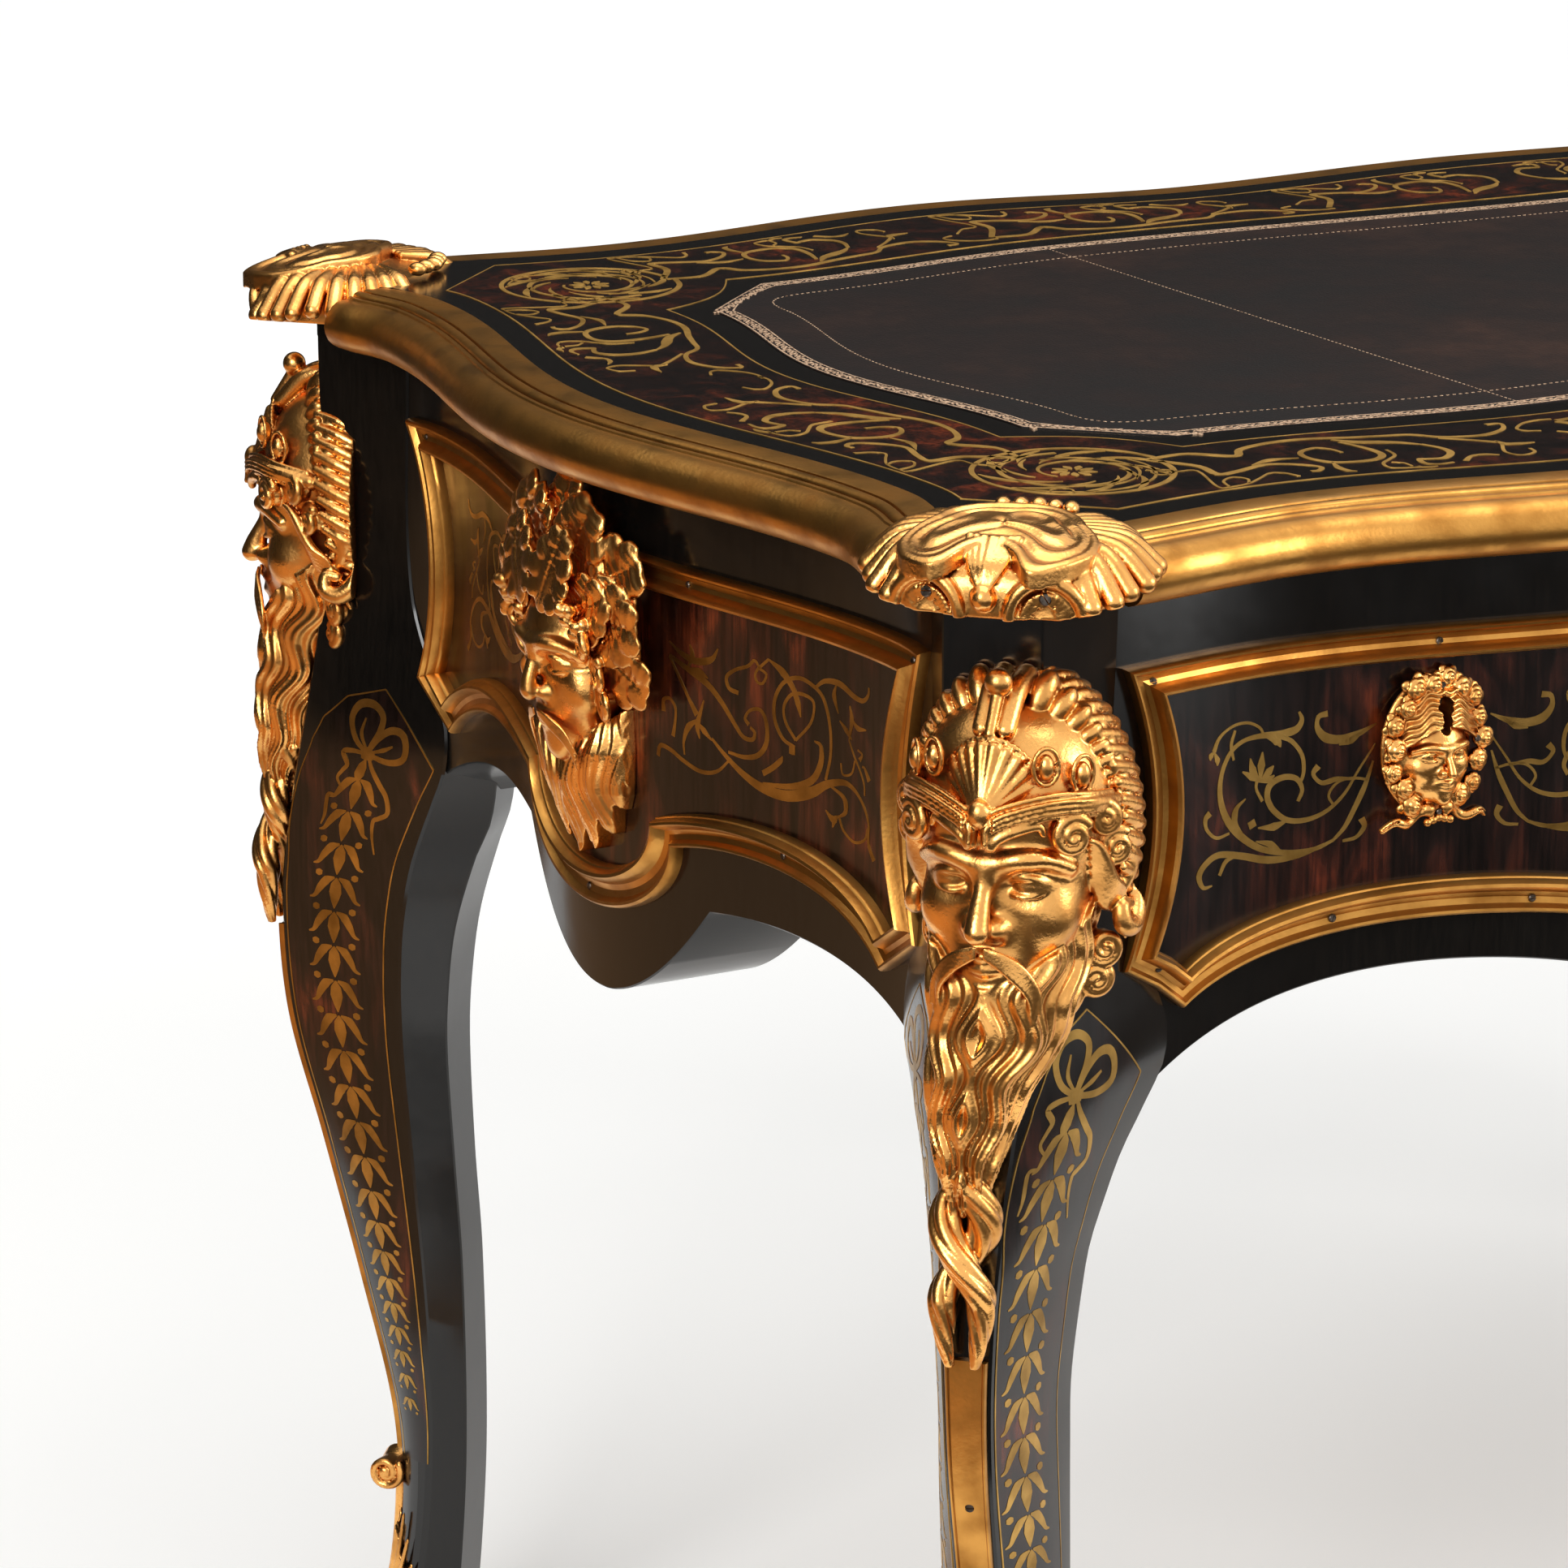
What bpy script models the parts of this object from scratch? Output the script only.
"""A bureau plat: an ebonised serpentine writing table on four cabriole legs, with three
frieze drawers, a leather-lined top and gilt-bronze mounts. Metres, +Z up. The front faces
-Y, and the origin is on the floor under the middle of the table."""

import math

import bmesh
import bpy

# Driving dimensions
LENGTH = 1.500  # over the edge mouldings, at the swell of the two ends
DEPTH = 0.770  # over the edge mouldings, at the swells of front and back
HEIGHT = 0.785  # floor to writing surface
TOP_THICKNESS = 0.030
MOULDING_REACH = 0.038  # from the carcase face to the outermost roll of the edge moulding
BOARD = 0.024  # thickness of the front and back boards
END_BOARD = 0.068  # thickness of the end boards
FRAME_WIDTH = 0.015  # of the gilt frames round the drawers and the end panels
SIDE_DRAWER = 0.320  # width over a side drawer's frame; the middle drawer takes what is left
DRAWER_FRONT = 0.020  # thickness of a drawer front
DRAWER_DEPTH = 0.500  # from the carcase face to the back of a drawer
LINING = 0.010  # thickness of the drawer sides and backs
FRAME_LAP = 0.006  # how far a drawer's gilt frame covers the gap round its front

# Clearances
GAP = 0.0003  # between pieces that touch
RUNNING = 0.001  # round a drawer front in its opening
CUT = 0.0004  # grown round the leg where another piece is cut to fit it

# Places worked out from the driving dimensions
GROUND_X = LENGTH / 2 - MOULDING_REACH
GROUND_Y = DEPTH / 2 - MOULDING_REACH
FRIEZE_TOP = HEIGHT - TOP_THICKNESS
CORNER_X = GROUND_X - 0.021  # middle of the canted face of a corner post
CORNER_Y = GROUND_Y - 0.007
CANT = 0.022  # half the width of that face
POST_REACH = 0.070  # from the canted face to where a frieze board meets the post
POST_X = CORNER_X - POST_REACH
POST_Y = CORNER_Y - POST_REACH
JOIN = 0.014  # from the post to where an edge moulding stops at the corner clasp
FRAME_TOP = FRIEZE_TOP - 0.035
SIDE_HALF = SIDE_DRAWER / 2
SIDE_X = POST_X - 0.003 - SIDE_HALF
MIDDLE_HALF = SIDE_X - SIDE_HALF - 0.030
SIDE_ARCH = FRIEZE_TOP - 0.1696  # crown of the frame's lower edge on a side drawer
MIDDLE_ARCH = FRIEZE_TOP - 0.161
SIDE_CROWN = SIDE_ARCH - 0.0218  # crown of the board's lower edge under a side drawer
MIDDLE_CROWN = MIDDLE_ARCH - 0.0200
PENDANT_LOW = FRIEZE_TOP - 0.2334  # foot of the drop between two drawers
DUST_TOP = FRIEZE_TOP - 0.1535
DUST_BOARD = 0.008
LINING_TOP = FRAME_TOP - 0.018
PENDANT_X = (SIDE_X - SIDE_HALF + MIDDLE_HALF) / 2  # the drop between two drawers
TURNS = {"front": 0.0, "right": math.pi / 2, "back": math.pi, "left": -math.pi / 2}
CORNERS = {"front_left": (-1, -1), "front_right": (1, -1), "back_right": (1, 1), "back_left": (-1, 1)}


# Curves


def eased(turns, s):
    """A wave, even about zero, that swings through its turning points (place, value)."""
    s = abs(s)
    for (s0, v0), (s1, v1) in zip(turns, turns[1:]):
        if s <= s1:
            return v0 + (v1 - v0) * (1 - math.cos(math.pi * (s - s0) / (s1 - s0))) / 2
    return turns[-1][1]


def spline(keys, s):
    """A smooth curve through keys (place, value), in rising order of place."""
    i = max(k for k in range(len(keys) - 1) if k == 0 or keys[k][0] <= s)
    near = [keys[max(i - 1, 0)], keys[i], keys[i + 1], keys[min(i + 2, len(keys) - 1)]]
    (p0, v0), (p1, v1), (p2, v2), (p3, v3) = near
    t = min(max((s - p1) / (p2 - p1), 0), 1)
    m1 = (v2 - v0) / (p2 - p0) * (p2 - p1)
    m2 = (v3 - v1) / (p3 - p1) * (p2 - p1)
    rise = t * t * (3 - 2 * t)
    return v1 + (v2 - v1) * rise + m1 * t * (1 - t) ** 2 - m2 * t * t * (1 - t)


def bow(reach, span, s):
    """How far a quarter ellipse has dropped at s from its crown."""
    return span * (1 - math.sqrt(max(0, 1 - min(abs(s) / reach, 1) ** 2)))


def steps(first, last, count):
    return [first + (last - first) * k / count for k in range(count + 1)]


FRONT_WAVE = [(0, 0.012), (0.246, 0.024), (0.47, 0.001), (0.751, 0.027), (0.94, 0.012)]
END_WAVE = [(0, 0.002), (0.69, 0.037), (0.92, 0.022)]


def front_line(x):
    """Distance of the serpentine front face from the middle of the table."""
    return GROUND_Y - eased(FRONT_WAVE, x / GROUND_X)


def end_line(y):
    """Distance of the swelling end face from the middle of the table."""
    return GROUND_X - eased(END_WAVE, y / GROUND_Y)


def front_edge(x):
    """Height of the lower edge of the front and back boards: three arches, two drops."""
    if abs(x) > PENDANT_X:
        edge = SIDE_CROWN - bow(1.125 * SIDE_HALF, 0.090, min(abs(x), POST_X) - SIDE_X)
    else:
        edge = MIDDLE_CROWN - bow(PENDANT_X, 0.062, x)
    return edge if abs(x) > SIDE_X else max(edge, PENDANT_LOW)


def end_edge(y):
    """Height of the lower edge of an end board: a drop under the mask between two arches."""
    cusp = 0.265 * GROUND_Y
    if abs(y) < cusp:
        return FRIEZE_TOP - 0.257 + 0.056 * (y / cusp) ** 2
    return FRIEZE_TOP - 0.194 - bow(0.42 * GROUND_Y, 0.080, min(abs(y), POST_Y) - 0.40 * GROUND_Y)


# Solids


def solid(name, points, faces, material, turn=0.0, at=(0, 0, 0), parent=None):
    """A named object with outward faces, turned about +Z, or hung on a parent where it stands."""
    mesh = bpy.data.meshes.new(name)
    mesh.from_pydata(points, [], faces)
    body = bmesh.new()
    body.from_mesh(mesh)
    bmesh.ops.recalc_face_normals(body, faces=body.faces)
    body.to_mesh(mesh)
    body.free()
    mesh.shade_smooth()
    mesh.set_sharp_from_angle(angle=math.radians(35))
    mesh.materials.append(material)
    obj = bpy.data.objects.new(name, mesh)
    bpy.context.scene.collection.objects.link(obj)
    obj.rotation_euler.z = turn
    obj.location = at
    if parent:
        obj.parent = parent
        obj.location = obj.location - parent.location
    return obj


def loft(rings):
    """Points and faces through rings of equal count, capped at both ends."""
    count = len(rings[0])
    points, faces = hoop(rings)
    del faces[-2 * count:]
    faces.append(tuple(range(count)))
    faces.append(tuple(range(len(points) - count, len(points))))
    return points, faces


def hoop(rings):
    """Points and faces through rings of equal count, the last joined to the first."""
    count = len(rings[0])
    points = [point for ring in rings for point in ring]
    faces = []
    for k in range(len(rings)):
        here, there = k * count, (k + 1) % len(rings) * count
        for i in range(count):
            j = (i + 1) % count
            faces.append((here + i, here + j, there + j))
            faces.append((here + i, there + j, there + i))
    return points, faces


def prism(outline, low, high):
    """Points and faces of a plan outline raised from low to high."""
    return loft([[(x, y, low) for x, y in outline], [(x, y, high) for x, y in outline]])


def box(low, high):
    (x0, y0, z0), (x1, y1, z1) = low, high
    return prism([(x0, y0), (x1, y0), (x1, y1), (x0, y1)], z0, z1)


def wave_board(line, edge, stations, top, outside, inside):
    """A board on edge with its face toward -Y, whose plan follows a line."""
    rings = []
    for s in stations:
        face, back = line(s) + outside, line(s) - inside
        rings.append([(s, -face, edge(s)), (s, -face, top), (s, -back, top), (s, -back, edge(s))])
    return loft(rings)


def helper(obj):
    obj.hide_render = True
    obj.display_type = "WIRE"
    return obj


def boolean(obj, cutter, operation="DIFFERENCE"):
    modifier = obj.modifiers.new(cutter.name, "BOOLEAN")
    modifier.object = cutter
    modifier.operation = operation
    modifier.solver = "EXACT"


def mitres(path, closed):
    """The normal to the right of each point of a path, lengthened where the path turns."""
    found = []
    for i, (x, y) in enumerate(path):
        before = path[i - 1] if closed or i else None
        after = path[(i + 1) % len(path)] if closed or i + 1 < len(path) else None
        normals = []
        for (ax, ay), (bx, by) in ((before or (x, y), (x, y)), ((x, y), after or (x, y))):
            length = math.hypot(bx - ax, by - ay)
            if length:
                normals.append(((by - ay) / length, (ax - bx) / length))
        (nx, ny), (mx, my) = normals[0], normals[-1]
        grow = 1 + nx * mx + ny * my
        found.append(((nx + mx) / grow, (ny + my) / grow))
    return found


def grown(outline, distance):
    """An anticlockwise outline pushed out by a distance."""
    moved = zip(outline, mitres(outline, True))
    return [(s + distance * ns, z + distance * nz) for (s, z), (ns, nz) in moved]


def drawn_in(pieces, distance):
    """A closed outline, given as curves from corner to corner, drawn in by a distance.
    Each corner moves along its mitre, and the curves are carried along between them."""
    corners = []
    for before, after in zip(pieces[-1:] + pieces[:-1], pieces):
        bend = [before[-2], after[0], after[1]]
        ns, nz = mitres(bend, False)[1]
        corners.append(complex(after[0][0] - distance * ns, after[0][1] - distance * nz))
    outline = []
    for piece, start, stop in zip(pieces, corners, corners[1:] + corners[:1]):
        first, last = complex(*piece[0]), complex(*piece[-1])
        for point in piece[:-1]:
            moved = start + (complex(*point) - first) * (stop - start) / (last - first)
            outline.append((moved.real, moved.imag))
    return outline


# Materials


def material(name, red, green, blue, roughness, metallic=0.0):
    made = bpy.data.materials.new(name)
    made.use_nodes = True
    shader = made.node_tree.nodes["Principled BSDF"]
    shader.inputs["Base Color"].default_value = (red, green, blue, 1)
    shader.inputs["Roughness"].default_value = roughness
    shader.inputs["Metallic"].default_value = metallic
    return made


for leftover in list(bpy.data.objects):
    bpy.data.objects.remove(leftover, do_unlink=True)

EBONY = material("ebonised_wood", 0.006, 0.006, 0.005, 0.16)
SHELL = material("tortoiseshell_marquetry", 0.060, 0.014, 0.006, 0.18)
GILT = material("gilt_bronze", 0.72, 0.36, 0.08, 0.25, 1.0)
BRASS = material("dull_brass", 0.45, 0.30, 0.11, 0.35, 1.0)
LEATHER = material("brown_leather", 0.022, 0.013, 0.009, 0.45)
OAK = material("oak", 0.33, 0.20, 0.10, 0.60)
STEEL = material("steel", 0.35, 0.34, 0.33, 0.40, 1.0)


# Legs: one cabriole post to each corner, from the sabot to the underside of the top.
# A section lies square to the table's diagonal: u runs out along it and v across it.

SABOT_FLOOR = 0.006
LEG_RINGS = 15
OUTER_EDGE = [
    (0, -0.006), (0.064, -0.022), (0.14, -0.030), (0.208, -0.0275), (0.297, -0.0115),
    (0.402, 0.0095), (0.49, 0.0275), (0.573, 0.031), (0.637, 0.024), (0.79, 0.001), (0.962, 0),
]
CANT_HALF = [(0, 0.011), (0.13, 0.009), (0.51, 0.010), (0.61, 0.013), (0.76, 0.021), (0.962, CANT)]
FLANK_EDGE = [
    (0, -0.036), (0.10, -0.050), (0.19, -0.055), (0.30, -0.056), (0.383, -0.0507),
    (0.43, -0.0444), (0.497, -0.0382), (0.566, -0.040), (0.634, -0.050), (0.70, -0.0567),
    (0.962, -0.0567),
]
FLANK_HALF = [
    (0, 0.032), (0.115, 0.0235), (0.19, 0.0235), (0.325, 0.027), (0.427, 0.030), (0.494, 0.0305),
    (0.56, 0.0306), (0.607, 0.0337), (0.633, 0.0382), (0.66, 0.0423), (0.962, 0.0423),
]
FLANK_SWELL = [(0, 0.60), (0.19, 0.60), (0.62, 0.72), (0.76, 0.35), (0.962, 0.35)]
INNER_EDGE = [
    (0, -0.058), (0.10, -0.067), (0.19, -0.070), (0.325, -0.070), (0.408, -0.0645),
    (0.494, -0.063), (0.56, -0.069), (0.637, -0.080), (0.713, -0.085), (0.962, -0.085),
]
INNER_HALF = [
    (0, 0.018), (0.19, 0.017), (0.41, 0.022), (0.51, 0.0225), (0.60, 0.020), (0.70, 0.014), (0.962, 0.014),
]


def leg_edge(keys, z):
    """One edge of the leg at a height, from keys given in parts of the table's height."""
    return spline(keys, z / HEIGHT)


def leg_ring(z, level, grow):
    outer = leg_edge(OUTER_EDGE, z) + grow
    flank, inner = leg_edge(FLANK_EDGE, z), leg_edge(INNER_EDGE, z) - grow
    cant, wide = leg_edge(CANT_HALF, z) + grow, leg_edge(FLANK_HALF, z) + grow
    back = leg_edge(INNER_HALF, z) + grow
    swell = (outer - 0.35 * (outer - flank), cant + leg_edge(FLANK_SWELL, z) * (wide - cant))
    half = [(outer, cant), swell, (flank, wide), (inner, back)]
    ring = [(u, -v) for u, v in half] + [(u, v) for u, v in reversed(half)]
    return [(u, v, level) for u, v in ring]


def leg_solid(grow):
    heights = steps(SABOT_FLOOR + GAP, FRIEZE_TOP - GAP, LEG_RINGS)
    rings = [leg_ring(z, z, grow) for z in heights]
    rings[0] = leg_ring(heights[0], heights[0] - grow, grow)
    rings[-1] = leg_ring(heights[-1], heights[-1] + grow, grow)
    return loft(rings)


def at_corner(name):
    """Place and turn of a piece that stands on the diagonal at a corner."""
    sx, sy = CORNERS[name]
    return {"at": (sx * CORNER_X, sy * CORNER_Y, 0), "turn": math.atan2(sy, sx)}


LEG_CUTTERS = {}
for corner in CORNERS:
    solid(f"leg_{corner}", *leg_solid(0), EBONY, **at_corner(corner))
    cutter = solid(f"leg_cutter_{corner}", *leg_solid(CUT), EBONY, **at_corner(corner))
    LEG_CUTTERS[corner] = helper(cutter)


# Gilt strips down the outer edge of the legs, from the masks to the sabots

MASK_LOW = FRIEZE_TOP - 0.323
SABOT_TOP = 0.163 * HEIGHT
STRIP = 0.0035

for corner in CORNERS:
    rings = []
    for z in steps(SABOT_TOP + 0.011, MASK_LOW - GAP, 10):
        outer, half = leg_edge(OUTER_EDGE, z), leg_edge(CANT_HALF, z) - 0.0015
        back, crown = outer - STRIP, outer + STRIP
        rings.append([(back, -half, z), (crown, -0.7 * half, z), (crown, 0.7 * half, z), (back, half, z)])
    strip = solid(f"leg_strip_{corner}", *loft(rings), GILT, **at_corner(corner))
    boolean(strip, LEG_CUTTERS[corner])


# Sabots: cast shoes round the feet, higher in front, with a scroll at the top and the toe

SHOE = 0.005  # how far the shoe stands off the leg


def scroll(name, corner, out, z, radius, half):
    """A rolled volute lying across the diagonal, as a helper to be joined on."""
    sides = 10
    rings = []
    for v in (-half, -0.8 * half, 0.8 * half, half):
        size = radius if abs(v) < half else 0.7 * radius
        turn = [2 * math.pi * k / sides for k in range(sides)]
        rings.append([(out + size * math.cos(a), v, z + size * math.sin(a)) for a in turn])
    return helper(solid(name, *loft(rings), GILT, **at_corner(corner)))


for corner in CORNERS:
    rings = []
    for part in (0, 0.08, 0.25, 0.5, 0.75, 1):
        ring = []
        shoe = SHOE * (1.5 - part) + 0.010 * (1 - part) ** 3
        front, behind = part * SABOT_TOP, part * 0.42 * SABOT_TOP
        outline = leg_ring(0.8 * (front + behind) / 2 + 0.004, 0, shoe)
        low, high = min(u for u, v, z in outline), max(u for u, v, z in outline)
        for u, v, z in outline:
            ring.append((u, v, behind + (front - behind) * (u - low) / (high - low)))
        rings.append(ring)
    shoe = solid(f"sabot_{corner}", *loft(rings), GILT, **at_corner(corner))
    toe = scroll(f"toe_{corner}", corner, leg_edge(OUTER_EDGE, 0) + 0.015, 0.0125, 0.0125, 0.016)
    curl = scroll(f"curl_{corner}", corner, leg_edge(OUTER_EDGE, SABOT_TOP) + 0.006, SABOT_TOP, 0.010, 0.013)
    boolean(shoe, toe, "UNION")
    boolean(shoe, curl, "UNION")
    boolean(shoe, LEG_CUTTERS[corner])


# Frieze boards: the serpentine front with its drawer openings, the back and the two ends

FRONT_STATIONS = steps(-POST_X - 0.030, POST_X + 0.030, 34)
END_STATIONS = steps(-POST_Y - 0.022, POST_Y + 0.022, 20)
BOARD_TOP = FRIEZE_TOP - GAP


def board(name, side, line, edge, stations, inside, outside=0.0):
    return solid(name, *wave_board(line, edge, stations, BOARD_TOP, outside, inside), EBONY, TURNS[side])


def fit_to_legs(obj, side):
    for corner in CORNERS:
        if side in corner:
            boolean(obj, LEG_CUTTERS[corner])


for side, line, edge, stations, thick in (
    ("front", front_line, front_edge, FRONT_STATIONS, BOARD),
    ("back", front_line, front_edge, FRONT_STATIONS, BOARD),
    ("left", end_line, end_edge, END_STATIONS, END_BOARD),
    ("right", end_line, end_edge, END_STATIONS, END_BOARD),
):
    fit_to_legs(board(f"{side}_frieze", side, line, edge, stations, thick), side)
FRONT_FRIEZE = bpy.data.objects["front_frieze"]


def ground_cutter(side, line, stations):
    """The ground behind a side's mounts, to shape their backs to the wavy face."""
    low = FRIEZE_TOP - 0.35
    return helper(board(f"{side}_ground", side, line, lambda s: low, stations, 0.06, GAP))


GROUNDS = {
    "front": ground_cutter("front", front_line, FRONT_STATIONS),
    "back": ground_cutter("back", front_line, FRONT_STATIONS),
    "left": ground_cutter("left", end_line, END_STATIONS),
    "right": ground_cutter("right", end_line, END_STATIONS),
}


# Gilt frames: a moulding round each drawer front, sham drawer and end panel

ARCH_DROP = 0.040  # of a drawer frame's lower edge, from its crown to its feet
FOOT_IN = 0.032  # from the side of a drawer to the foot of that arch
CORNER_RISE = 0.0235  # from the foot up to the frame's lower corner
CORNER_OUT = 0.003  # how far that corner and the top one stand past the drawer's side
SIDE_HOLLOW = 0.0145  # depth of the frame's hollow side
END_HOLLOW = 0.016
LOOP_DROP = 0.0445  # of the loop under an end mask
FRAME_PROFILE = [(0, -0.004), (0, 0.004), (0.35, 0.005), (0.70, 0.010), (1, 0.006), (1, -0.004)]


def mirrored(right):
    """The left-hand curves of an outline, from its right-hand ones."""
    return [[(-s, z) for s, z in reversed(piece)] for piece in reversed(right)]


def frame_side(low, high, hollow):
    """The hollow side of a frame, from its lower corner to its top corner."""
    (s0, z0), (s1, z1) = low, high
    points = []
    for part in steps(0, 1, 4):
        depth = 4 * hollow * part * (1 - part)
        points.append((s0 + (s1 - s0) * part - depth, z0 + (z1 - z0) * part))
    return points


def drawer_outline(half, crown):
    """Outer edge of a drawer's frame: a straight top, hollow sides and an arched foot."""
    tip = half - FOOT_IN
    arch = [(s, crown - bow(1.09 * tip, ARCH_DROP, s)) for s in steps(-tip, tip, 8)]
    foot = arch[-1][1]
    corner, ear = (half + CORNER_OUT, foot + CORNER_RISE), (half + CORNER_OUT, FRAME_TOP)
    knee = (half - FOOT_IN / 2, foot + 0.54 * CORNER_RISE)
    right = [[arch[-1], knee, corner], frame_side(corner, ear, SIDE_HOLLOW)]
    top = [(s, FRAME_TOP) for s in steps(ear[0], -ear[0], 6)]
    return [arch] + right + [top] + mirrored(right)


def end_outline():
    """Outer edge of an end frame: two arches with a loop between them under the mask."""
    cusp, tip, crown = 0.219 * GROUND_Y, 0.65 * GROUND_Y, 0.375 * GROUND_Y
    middle, arch_top = FRIEZE_TOP - 0.170, FRIEZE_TOP - 0.163
    turn = steps(-math.pi / 2, math.pi / 2, 6)
    loop = [(cusp * math.sin(a), middle - LOOP_DROP * math.cos(a)) for a in turn]
    arch = [(s, arch_top - bow(0.303 * GROUND_Y, 0.050, s - crown)) for s in steps(cusp, tip, 5)]
    arch[0] = loop[-1]
    corner, ear = (POST_Y - 0.009, FRIEZE_TOP - 0.170), (POST_Y - 0.003, FRAME_TOP)
    right = [arch, [arch[-1], corner], frame_side(corner, ear, END_HOLLOW)]
    top = [(s, FRAME_TOP) for s in steps(ear[0], -ear[0], 8)]
    return [loop] + right + [top] + mirrored(right)


def gilt_frame(name, side, outline, line, centre=0.0, parent=None):
    rings = [[] for _ in drawn_in(outline, 0)]
    for part, proud in FRAME_PROFILE:
        for ring, (s, z) in zip(rings, drawn_in(outline, part * FRAME_WIDTH)):
            ring.append((s + centre, -(line(s + centre) + proud), z))
    made = solid(name, *hoop(rings), GILT, TURNS[side], parent=parent)
    boolean(made, GROUNDS[side])
    return made


def shifted(outline, centre, low, high):
    """An upright outline, set along X, as a block that runs through the front board."""
    near = [(s + centre, low, z) for s, z in outline]
    far = [(s + centre, high, z) for s, z in outline]
    return loft([near, far])


# Drawers: three in the frieze, each on a slide along Y, with a lock behind the front

DRAWERS = {
    "left": (-SIDE_X, SIDE_HALF, SIDE_ARCH),
    "middle": (0.0, MIDDLE_HALF, MIDDLE_ARCH),
    "right": (SIDE_X, SIDE_HALF, SIDE_ARCH),
}
SIDE_IN = 0.004  # from the narrowest part of a drawer front to its oak side
BOTTOM_UP = 0.004  # from the dust board to a drawer's bottom
BOTTOM_THICK = 0.006
LOCK_HALF = 0.0215
LOCK_TALL = 0.040
LOCK_IN = 0.010  # from the drawer's face to the lock
LOCK_BACK = 0.021
BOLT_HALF = 0.007
BOLT_TALL = 0.026
BOLT_THICK = 0.005
BOLT_THROW = 0.008
MASK_TALL = 0.0775
MASK_WIDE = 0.062

backing = helper(
    solid("drawer_backing", *wave_board(front_line, lambda s: 0, FRONT_STATIONS, FRIEZE_TOP,
                                        0.05, DRAWER_FRONT + GAP), EBONY)
)


def drawer_front(name, centre, outline, slide):
    board_points = wave_board(front_line, lambda s: PENDANT_LOW, FRONT_STATIONS, FRIEZE_TOP, 0, DRAWER_FRONT)
    front = solid(f"drawer_{name}_front", *board_points, SHELL, parent=slide)
    shape = helper(solid(f"drawer_{name}_shape", *shifted(outline, centre, -DEPTH, 0), EBONY))
    boolean(front, shape, "INTERSECT")
    return front


def drawer_lining(name, centre, half, slide):
    """The oak box: two sides and a back in one, and the loose bottom between them."""
    low = DUST_TOP + GAP
    out, back = half - FRAME_LAP - SIDE_HOLLOW - SIDE_IN, DRAWER_DEPTH - GROUND_Y
    inner = out - LINING
    plan = [(-out, -GROUND_Y), (-inner, -GROUND_Y), (-inner, back - LINING), (inner, back - LINING)]
    plan += [(inner, -GROUND_Y), (out, -GROUND_Y), (out, back), (-out, back)]
    plan = [(x + centre, y) for x, y in plan]
    lining = solid(f"drawer_{name}_box", *prism(plan, low, LINING_TOP), OAK, parent=slide)
    boolean(lining, backing)
    near = (centre - inner + GAP, -GROUND_Y, low + BOTTOM_UP)
    far = (centre + inner - GAP, back - LINING - GAP, low + BOTTOM_UP + BOTTOM_THICK)
    bottom = solid(f"drawer_{name}_bottom", *box(near, far), OAK, parent=slide)
    boolean(bottom, backing)


def drawer_lock(name, centre, top, front, opening, slide):
    """A lock let into the back of the drawer front, with a bolt that shoots up into the board."""
    face = -front_line(centre)
    pocket = box((centre - LOCK_HALF - GAP, face + LOCK_IN - GAP, top - LOCK_TALL - GAP),
                 (centre + LOCK_HALF + GAP, face + 0.05, top + 0.01))
    boolean(front, helper(solid(f"lock_pocket_{name}", *pocket, STEEL)))
    near = (centre - LOCK_HALF, face + LOCK_IN, top - LOCK_TALL)
    far = (centre + LOCK_HALF, face + LOCK_BACK, top - GAP)
    case = solid(f"drawer_{name}_lock", *box(near, far), STEEL, parent=slide)
    bolt_face = face + LOCK_BACK - BOLT_THICK - 0.001
    near = (centre - BOLT_HALF, bolt_face, top - BOLT_TALL)
    far = (centre + BOLT_HALF, bolt_face + BOLT_THICK, top - GAP)
    solid(f"drawer_{name}_bolt", *box(near, far), BRASS, parent=slide)
    slot = box((near[0] - GAP, near[1] - GAP, near[2] - GAP), (far[0] + GAP, face + 0.05, top + 0.01))
    boolean(case, helper(solid(f"bolt_slot_{name}", *slot, STEEL)))
    mortise = box((near[0] - RUNNING, near[1] - RUNNING, top - BOLT_TALL),
                  (far[0] + RUNNING, far[1] + RUNNING, top + RUNNING + BOLT_THROW + RUNNING))
    boolean(opening, helper(solid(f"bolt_mortise_{name}", *mortise, STEEL)), "UNION")


def relief(name, side, line, centre, middle, half, tall, rise, sides, rings, parent=None):
    """A cast mask: an oval of rings that stand off the ground by rise(across, up)."""
    points = [(centre, -(line(centre) + rise(0, 0)), middle)]
    faces = [(0, 1 + k, 1 + (k + 1) % sides) for k in range(sides)]
    for ring in range(1, rings + 1):
        for k in range(sides):
            angle = 2 * math.pi * k / sides
            across, up = ring / rings * math.cos(angle), ring / rings * math.sin(angle)
            s = centre + half * across
            points.append((s, -(line(s) + rise(across, up)), middle + tall / 2 * up))
    for x, y, z in points[-sides:]:
        points.append((x, -(line(centre) - 0.012), z))
    for ring in range(rings):
        here = 1 + ring * sides
        for k in range(sides):
            j = (k + 1) % sides
            faces.append((here + k, here + sides + k, here + sides + j, here + j))
    faces.append(tuple(range(len(points) - sides, len(points))))
    made = solid(name, points, faces, GILT, TURNS[side], parent=parent)
    boolean(made, GROUNDS[side])
    return made


def key_mask_rise(across, up):
    """A small head in a wreath, with a ribbon below: dome, ring and chin."""
    reach = math.hypot(across, up)
    head = 0.016 * max(0, 1 - (across / 0.62) ** 2 - ((up - 0.05) / 0.72) ** 2)
    wreath = 0.006 * max(0, 1 - ((reach - 0.8) / 0.25) ** 2)
    return 0.002 + head + wreath


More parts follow.
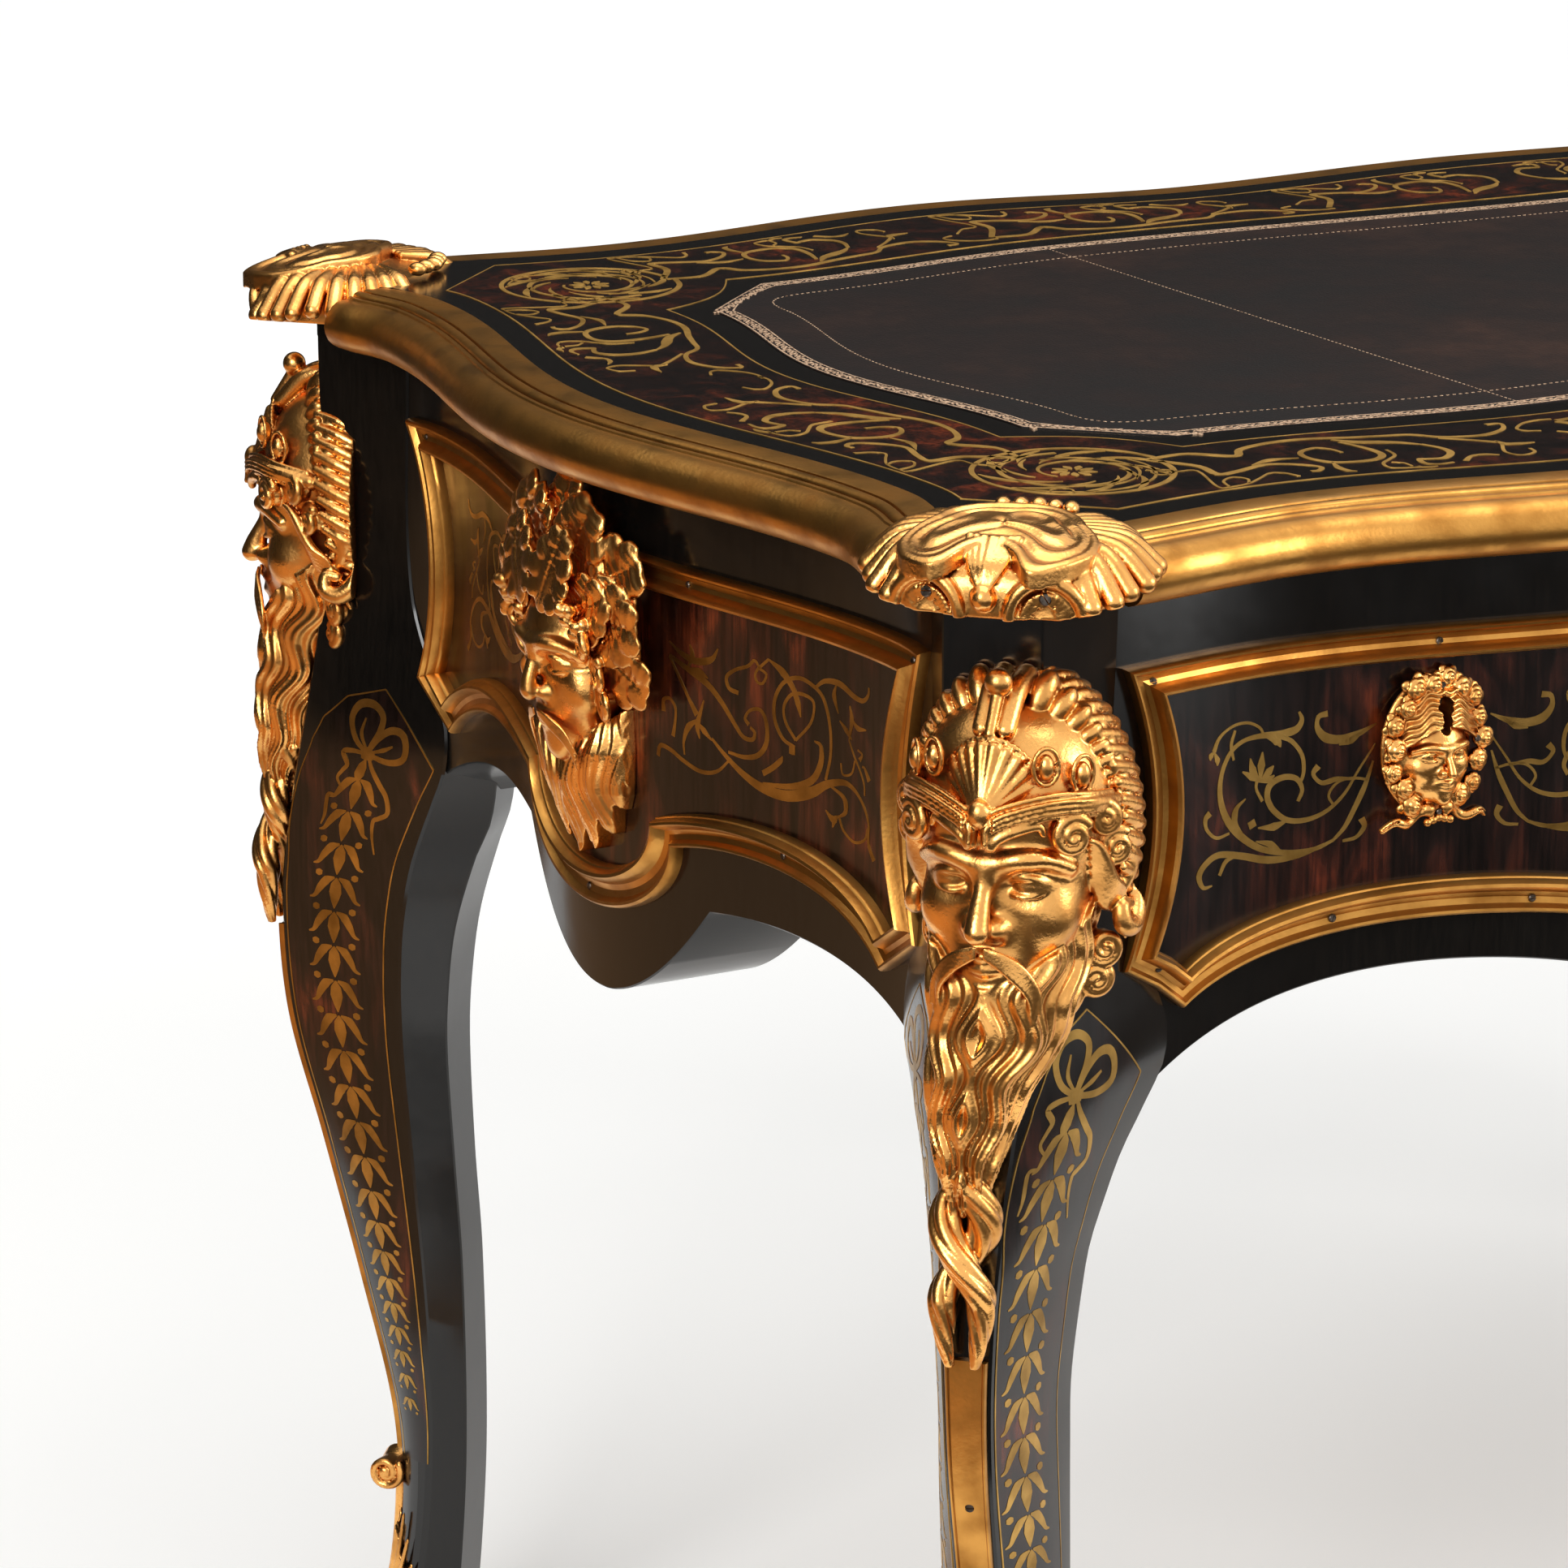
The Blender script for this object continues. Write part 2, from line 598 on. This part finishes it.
for name, (centre, half, crown) in DRAWERS.items():
    slide = bpy.data.objects.new(f"drawer_{name}_slide", None)
    slide.location = (centre, 0, DUST_TOP)
    bpy.context.scene.collection.objects.link(slide)
    outline = drawer_outline(half, crown)
    cut = drawn_in(outline, FRAME_LAP)
    hole = shifted(drawn_in(outline, FRAME_LAP - RUNNING), centre, -DEPTH, 0)
    opening = helper(solid(f"opening_{name}", *hole, EBONY))
    boolean(FRONT_FRIEZE, opening)
    front = drawer_front(name, centre, cut, slide)
    drawer_lining(name, centre, half, slide)
    drawer_lock(name, centre, FRAME_TOP - FRAME_LAP, front, opening, slide)
    gilt_frame(f"drawer_{name}_frame", "front", outline, front_line, centre, slide)
    gilt_frame(f"back_{name}_frame", "back", outline, front_line, centre)
    relief(f"drawer_{name}_escutcheon", "front", front_line, centre, FRIEZE_TOP - 0.090,
           MASK_WIDE / 2, MASK_TALL, key_mask_rise, 16, 4, slide)


# Dust board under the drawers, with a guide batten between each two drawers

reach_x, reach_y = end_line(0.69 * GROUND_Y) - END_BOARD - GAP, GROUND_Y - 0.027 - BOARD - GAP
post_back = CORNER_X + CORNER_Y - (0.085 + CUT) * math.sqrt(2) - GAP
notch = max(0.010, reach_x + reach_y - post_back)
plan = []
for sx, sy, swap in ((1, -1, 0), (1, 1, 1), (-1, 1, 0), (-1, -1, 1)):
    pair = [(sx * (reach_x - notch), sy * reach_y), (sx * reach_x, sy * (reach_y - notch))]
    plan += reversed(pair) if swap else pair
dust = solid("dust_board", *prism(plan, DUST_TOP - DUST_BOARD, DUST_TOP), OAK)
for sx in (-1, 1):
    near = (sx * PENDANT_X - 0.009, -reach_y + 0.02, DUST_TOP - 0.004)
    far = (sx * PENDANT_X + 0.009, reach_y - 0.02, DUST_TOP + 0.022)
    boolean(dust, helper(solid(f"batten_{sx + 1}", *box(near, far), OAK)), "UNION")


# Top: the panel, its leather and the gilt edge with a clasp at each corner

FRONT_STEPS = 14  # facets along half of the front edge, and of an end edge
END_STEPS = 7
LEATHER_THICK = 0.0018
LEATHER_FRONT = [(0, 0.140), (0.463, 0.126), (0.722, 0.1455)]
LEATHER_END = [(0, 0.122), (0.437, 0.145)]


def corner_plan():
    """The carcase's plan round one corner, from the end face to the front face."""
    shift = CANT / math.sqrt(2)
    first = (end_line(POST_Y), POST_Y)
    last = (POST_X, front_line(POST_X))
    return [first, (CORNER_X + shift, CORNER_Y - shift), (CORNER_X - shift, CORNER_Y + shift), last]


def whole_plan(quarter):
    """An anticlockwise plan from its first quarter, which runs from the X axis to the Y axis."""
    flipped = [(-x, y) for x, y in reversed(quarter)][1:]
    half = quarter + flipped
    return half + [(-x, -y) for x, y in half][1:-1]


def leather_plan():
    """The hide's plan: wavy sides, swelling ends and canted corners."""
    long_end, side_end = LEATHER_FRONT[-1][0] * GROUND_X, LEATHER_END[-1][0] * GROUND_Y
    ends = [(GROUND_X - eased(LEATHER_END, y / GROUND_Y), y) for y in steps(0, side_end, 4)]
    fronts = [(x, GROUND_Y - eased(LEATHER_FRONT, x / GROUND_X)) for x in steps(long_end, 0, 8)]
    return whole_plan(ends + fronts)


ends = [(end_line(y), y) for y in steps(0, POST_Y - JOIN, END_STEPS)]
fronts = [(x, front_line(x)) for x in steps(POST_X - JOIN, 0, FRONT_STEPS)]
panel = solid("top_panel", *prism(whole_plan(ends + corner_plan() + fronts), FRIEZE_TOP, HEIGHT), EBONY)
recess = prism(grown(leather_plan(), GAP), HEIGHT - LEATHER_THICK - GAP, HEIGHT + 0.01)
boolean(panel, helper(solid("leather_recess", *recess, LEATHER)))
solid("leather", *prism(leather_plan(), HEIGHT - LEATHER_THICK, HEIGHT), LEATHER)

# The edge's section: a flat fillet, a bead between two grooves, and a roll that tucks under
EDGE_PROFILE = [
    (0.0, 1.0), (0.38, 1.0), (0.44, 0.86), (0.56, 0.92), (0.66, 0.80), (0.96, 0.64), (0.98, 0.36),
    (0.72, 0.04), (0, 0),
]


def edge_moulding(name, side, line, last, count):
    path = [(s, -line(s)) for s in steps(-last, last, count)]
    rings = []
    for (x, y), (nx, ny) in zip(path, mitres(path, False)):
        ring = []
        for out, up in EDGE_PROFILE:
            reach = GAP + out * MOULDING_REACH
            ring.append((x + reach * nx, y + reach * ny, FRIEZE_TOP + up * TOP_THICKNESS))
        rings.append(ring)
    for ring, edge in ((rings[0], -last), (rings[-1], last)):
        ring[:] = [(edge, y, z) for x, y, z in ring]
    solid(name, *loft(rings), BRASS, TURNS[side])


for side, line, last, count in (
    ("front", front_line, POST_X - JOIN, 2 * FRONT_STEPS),
    ("back", front_line, POST_X - JOIN, 2 * FRONT_STEPS),
    ("left", end_line, POST_Y - JOIN, 2 * END_STEPS),
    ("right", end_line, POST_Y - JOIN, 2 * END_STEPS),
):
    edge_moulding(f"top_edge_{side}", side, line, last - GAP, count)

# The clasp's section: a lip on the top, a rounded shell outside and a foot under the panel
CLASP_LIP = [(-1, GAP), (-0.9, 0.005), (-0.4, 0.009)]
CLASP_FOOT = GAP - TOP_THICKNESS
CLASP_SHELL = [(0.25, 0.010), (0.75, 0.003), (1.0, -0.012), (0.88, -0.024), (0.5, CLASP_FOOT)]


def between(a, b, t):
    return (a[0] + (b[0] - a[0]) * t, a[1] + (b[1] - a[1]) * t)


def corner_clasp(corner):
    sx, sy = CORNERS[corner]
    first, near, far, last = corner_plan()
    start = (end_line(POST_Y - JOIN), POST_Y - JOIN)
    stop = (POST_X - JOIN, front_line(POST_X - JOIN))
    path = [start, first, between(first, near, 0.5), near, between(near, far, 0.5)]
    path += [far, between(far, last, 0.5), last, stop]
    flares = [1.0, 1.0, 0.94, 0.86, 1.24, 0.86, 0.94, 1.0, 1.0]
    lips = [0.010, 0.016, 0.022, 0.026, 0.028, 0.026, 0.022, 0.016, 0.010]
    rings = []
    for (x, y), (nx, ny), flare, lip in zip(path, mitres(path, False), flares, lips):
        section = [(out * lip, HEIGHT + up) for out, up in CLASP_LIP]
        section += [(out * flare * MOULDING_REACH, HEIGHT + up) for out, up in CLASP_SHELL]
        section += [(GAP, HEIGHT + CLASP_FOOT), (GAP, HEIGHT + GAP)]
        rings.append([(sx * (x + out * nx), sy * (y + out * ny), z) for out, z in section])
    rings[0] = [(x, sy * start[1], z) for x, y, z in rings[0]]
    rings[-1] = [(sx * stop[0], y, z) for x, y, z in rings[-1]]
    solid(f"corner_clasp_{corner}", *loft(rings), GILT)


for corner in CORNERS:
    corner_clasp(corner)


# Corner masks: bearded heads that wrap the posts, from a ball at the top to the beard's tip

MASK_HALF = [
    (-0.323, 0.008), (-0.300, 0.016), (-0.270, 0.024), (-0.230, 0.032), (-0.185, 0.038),
    (-0.155, 0.040), (-0.125, 0.043), (-0.105, 0.046), (-0.085, 0.053), (-0.065, 0.048),
    (-0.040, 0.033), (-0.032, 0.012), (-0.016, 0.009),
]
MASK_PROUD = [
    (-0.323, 0.006), (-0.300, 0.012), (-0.250, 0.020), (-0.190, 0.028), (-0.165, 0.024),
    (-0.140, 0.036), (-0.115, 0.026), (-0.085, 0.033), (-0.055, 0.024), (-0.036, 0.016), (-0.016, 0.018),
]
MASK_WRAP = 0.026  # how far the rim of a mask reaches back past the canted face
NOSE = (-0.132, 0.022)
SPREAD = (-1, -0.8, -0.35, 0, 0.35, 0.8, 1)


def mask_ring(drop):
    z = FRIEZE_TOP + drop
    outer, cant = leg_edge(OUTER_EDGE, z), leg_edge(CANT_HALF, z)
    flank, wide = leg_edge(FLANK_EDGE, z), leg_edge(FLANK_HALF, z)
    half, proud = spline(MASK_HALF, drop), spline(MASK_PROUD, drop)
    rim = outer - min(max(0, half - cant) * (outer - flank) / (wide - cant), MASK_WRAP)
    ring = []
    for part in SPREAD:
        swell = math.sqrt(1 - 0.94 * part * part)
        out = rim + 0.004 + (outer + proud - rim - 0.004) * swell
        if part == 0:
            out += 0.008 * max(0, 1 - ((drop - NOSE[0]) / NOSE[1]) ** 2)
        ring.append((out, half * part, z))
    inside = min(half, wide) * 0.5
    return ring + [(min(rim, outer) - 0.008, inside, z), (min(rim, outer) - 0.008, -inside, z)]


for corner in CORNERS:
    rings = [mask_ring(drop) for drop in steps(MASK_HALF[0][0], MASK_HALF[-1][0], 13)]
    mask = solid(f"corner_mask_{corner}", *loft(rings), GILT, **at_corner(corner))
    boolean(mask, LEG_CUTTERS[corner])


# End panels: a gilt frame and a large crowned mask at the middle of each end


def end_mask_rise(across, up):
    """A full-faced head under a leafy crown: skull, crown, nose and a pointed chin."""
    head = 0.040 * math.sqrt(max(0, 1 - (across / 0.80) ** 2 - ((up + 0.10) / 0.92) ** 2))
    crown = 0.022 * max(0, 1 - ((up - 0.62) / 0.38) ** 2) * max(0, 1 - across**2)
    nose = 0.010 * max(0, 1 - (across / 0.16) ** 2) * max(0, 1 - ((up + 0.15) / 0.22) ** 2)
    return 0.003 + head + crown + nose


END_MASK_HALF = 0.064
END_MASK_TALL = 0.175
END_MASK_SIDES = 20


def oval_block(middle):
    """A block of the end mask's outline, to part the frame where the mask lies over it."""
    outline = []
    for k in range(END_MASK_SIDES):
        angle = 2 * math.pi * k / END_MASK_SIDES
        across = (END_MASK_HALF + 2 * GAP) * math.cos(angle)
        outline.append((across, middle + (END_MASK_TALL / 2 + 2 * GAP) * math.sin(angle)))
    return shifted(outline, 0.0, -GROUND_X - 0.05, 0.0)


for side in ("left", "right"):
    middle = FRIEZE_TOP - 0.0965
    frame = gilt_frame(f"{side}_end_frame", side, end_outline(), end_line)
    boolean(frame, helper(solid(f"{side}_oval", *oval_block(middle), GILT, TURNS[side])))
    relief(f"{side}_end_mask", side, end_line, 0.0, middle, END_MASK_HALF, END_MASK_TALL,
           end_mask_rise, END_MASK_SIDES, 6)
